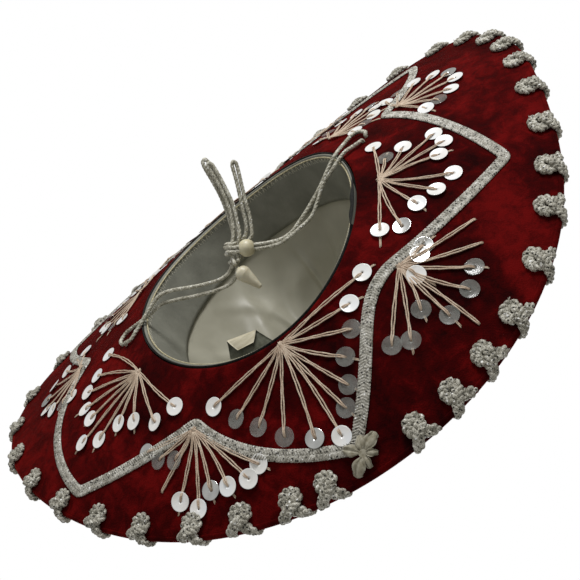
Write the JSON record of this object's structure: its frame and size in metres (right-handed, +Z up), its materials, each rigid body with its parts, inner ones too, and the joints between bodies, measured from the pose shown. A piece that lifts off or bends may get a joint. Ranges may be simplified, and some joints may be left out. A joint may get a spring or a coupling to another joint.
{
  "type": "sombrero",
  "caption": "Wide-brimmed charro sombrero in velvet with silver braid, thread fans, sequins, rim scrolls, a satin lining and a chin cord with slider bead and horn toggle.",
  "frame": {"origin": "centre of the head opening, level with the opening's edge at the two sides of the head", "axes": "+Z up through the crown, -Y towards the front where the bow is, X across the head"},
  "size_m": [0.4129, 0.3532, 0.1708],
  "materials": {
    "velvet": "deep pile with a sheen",
    "board": "stiffened felt board, matt",
    "wire": "plain",
    "tape": "woven tape, matt",
    "sweatband": "grey coated band, satin",
    "piping": "woven cord",
    "lining": "satin",
    "label": "woven ribbon",
    "silver_braid": "metallic braid",
    "thread": "doubled floss",
    "sequin": "pearl and clear, glossy",
    "ribbon": "sheer organza",
    "cord": "metallic twisted cord",
    "bead": "moulded, satin",
    "horn": "moulded, satin"
  },
  "bodies": {
    "hat": {"crown_side_board": "board", "crown_tip_board": "board", "crown_velvet": "velvet", "brim_board": "board", "brim_under_velvet": "velvet", "brim_top_velvet": "velvet", "rim_wire": "wire", "rim_binding": "velvet", "opening_tape": "tape", "sweatband": "sweatband", "sweatband_piping": "piping", "lining_side": "lining", "lining_tip": "lining", "label_tab": "label", "hat_band": "silver_braid", "under_braid": "silver_braid", "under_lobe_threads": "thread", "under_lobe_sequins": "sequin", "under_valley_threads": "thread", "under_valley_sequins": "sequin", "top_braid": "silver_braid", "top_lobe_threads": "thread", "top_lobe_sequins": "sequin", "crown_braid": "silver_braid", "crown_threads": "thread", "crown_sequins": "sequin", "rim_scrolls": "silver_braid", "front_bow": "ribbon", "front_bow_button": "ribbon", "chin_cord_left": "cord", "chin_cord_right": "cord", "toggle_cord": "cord"},
    "slider_bead": {"slider_bead": "bead"},
    "toggle": {"toggle": "horn"}
  },
  "joints": [
    {"name": "bead_slide", "type": "slide", "parent": "hat", "child": "slider_bead", "axis": [-0.8558, -0.1177, 0.5038], "range_m": [0, 0.008]},
    {"name": "toggle_swing", "type": "hinge", "parent": "hat", "child": "toggle", "pos_m": [0.01037, -0.00572, 0.0054], "axis": [0.1414, 0.8835, 0.4466], "range_deg": [-35, 35]}
  ]
}
